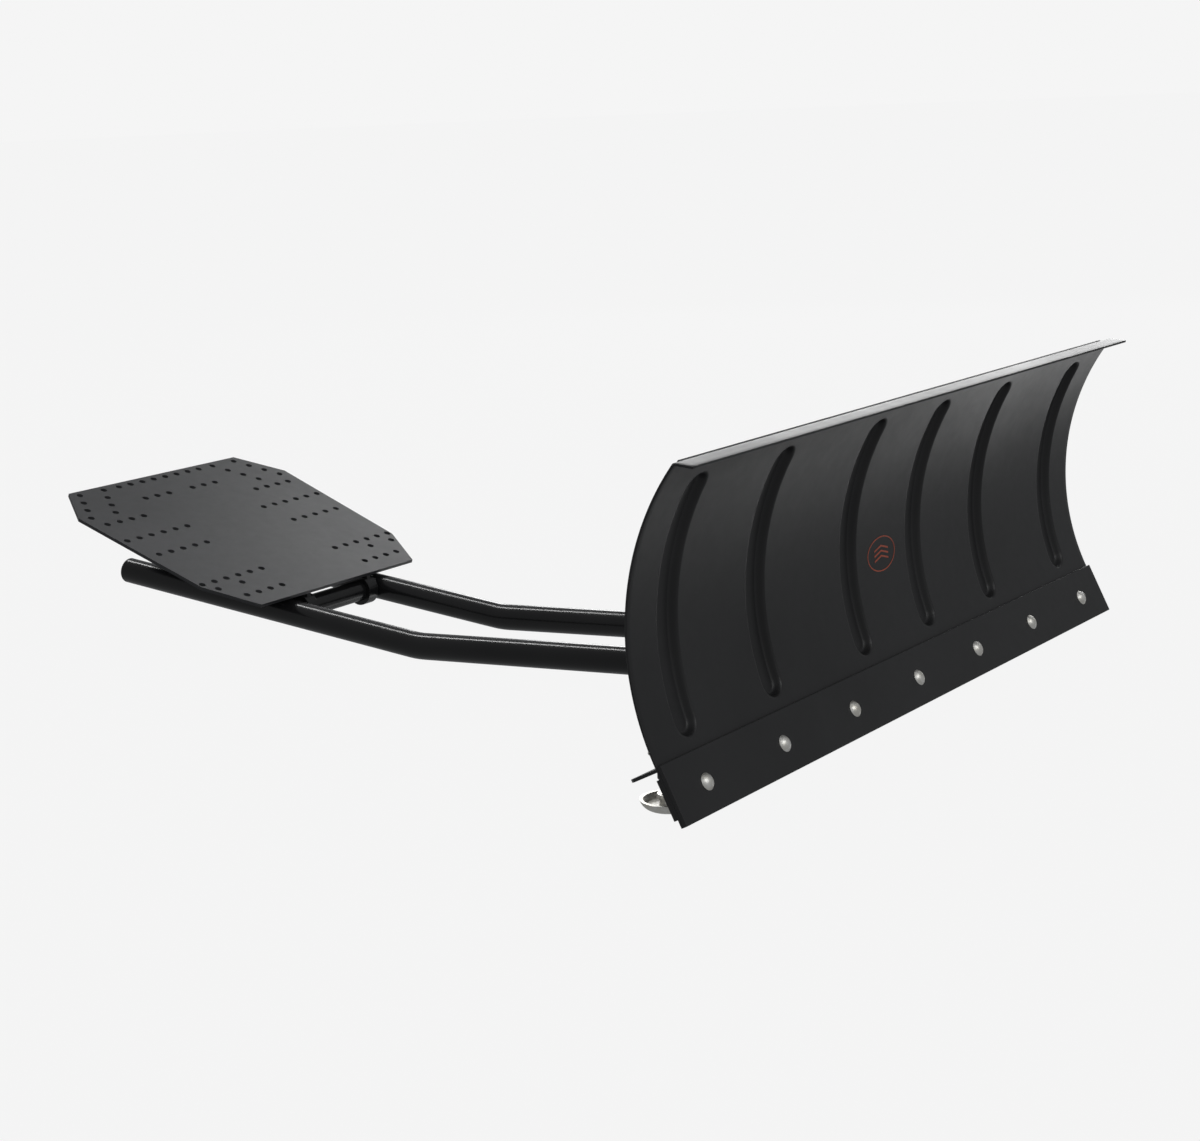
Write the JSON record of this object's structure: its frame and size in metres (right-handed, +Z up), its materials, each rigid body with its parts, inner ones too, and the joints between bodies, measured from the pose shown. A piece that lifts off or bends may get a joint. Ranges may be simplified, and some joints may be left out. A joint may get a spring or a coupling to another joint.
{
  "type": "atv plow blade",
  "caption": "Black steel snow plow blade with a swivel head, two bent push tubes and a drilled octagonal mount plate",
  "frame": {"origin": "bottom centre of the whole attachment, on the ground", "axes": "X across the blade (+X is the right hand end seen from behind the blade), +Y to the rear, towards the vehicle, +Z up; the blade's front faces -Y"},
  "size_m": [1.143, 1.385, 0.4015],
  "materials": {
    "blade_paint": "satin",
    "plate_paint": "satin",
    "black_paint": "gloss",
    "zinc": "satin",
    "black_plastic": "matte"
  },
  "bodies": {
    "push_frame": {"head_plate": "black_paint", "upper_jaw": "black_paint", "lower_jaw": "black_paint", "lift_lug": "black_paint", "king_pin": "zinc", "king_pin_nut": "zinc", "clamp_bolt": "zinc", "push_tube_left": "black_paint", "push_tube_right": "black_paint", "front_cross_tube": "black_paint", "rear_cross_tube": "black_paint", "tube_end_caps": "black_plastic"},
    "swivel": {"swivel_plate": "black_paint", "swivel_crossbar": "black_paint", "trip_ears_left": "black_paint", "trip_ears_right": "black_paint", "spring_lugs": "black_paint", "trip_pins": "zinc", "trip_pin_clips": "zinc", "trip_spring_left": "zinc", "trip_spring_right": "zinc"},
    "blade": {"mouldboard": "blade_paint", "wear_bar": "blade_paint", "backing_bar": "blade_paint", "wear_bolts": "zinc", "wear_bolt_washers": "zinc", "wear_bolt_nuts": "zinc", "top_rail": "blade_paint", "blade_rib_left": "blade_paint", "blade_rib_right": "blade_paint", "spring_bar": "blade_paint", "spring_eye_bolts": "zinc", "spring_eye_nuts": "zinc", "skid_bracket_left": "blade_paint", "skid_bracket_right": "blade_paint"},
    "skid_left": {"skid_shoe_left": "zinc", "skid_washers_left": "zinc", "skid_pin_left": "zinc"},
    "skid_right": {"skid_shoe_right": "zinc", "skid_washers_right": "zinc", "skid_pin_right": "zinc"},
    "mount": {"mount_plate": "plate_paint", "plate_hinge_left": "black_paint", "plate_hinge_right": "black_paint"},
    "clamp_lever": {"clamp_lever": "black_plastic"}
  },
  "joints": [
    {"name": "blade_swivel", "type": "hinge", "parent": "push_frame", "child": "swivel", "pos_m": [0, -0.48431, 0.0413], "axis": [0, 0, 1], "range_deg": [-25, 25]},
    {"name": "blade_trip", "type": "hinge", "parent": "swivel", "child": "blade", "pos_m": [0, -0.57731, 0.062], "axis": [1, 0, 0], "range_deg": [0, 30], "stiffness_Nm_per_rad": 116, "springref_deg": -10.31, "deforming": ["trip_spring_left", "trip_spring_right"]},
    {"name": "skid_height_left", "type": "slide", "parent": "blade", "child": "skid_left", "axis": [0, 0, 1], "range_m": [0, 0.004]},
    {"name": "skid_height_right", "type": "slide", "parent": "blade", "child": "skid_right", "axis": [0, 0, 1], "range_m": [0, 0.004]},
    {"name": "plate_tilt", "type": "hinge", "parent": "push_frame", "child": "mount", "pos_m": [0, 0.33069, 0.0444], "axis": [1, 0, 0], "range_deg": [-14, 14]},
    {"name": "clamp_lever_turn", "type": "hinge", "parent": "push_frame", "child": "clamp_lever", "pos_m": [0, -0.40231, 0.0723], "axis": [0, 0, 1], "range_deg": [0, 90]}
  ]
}
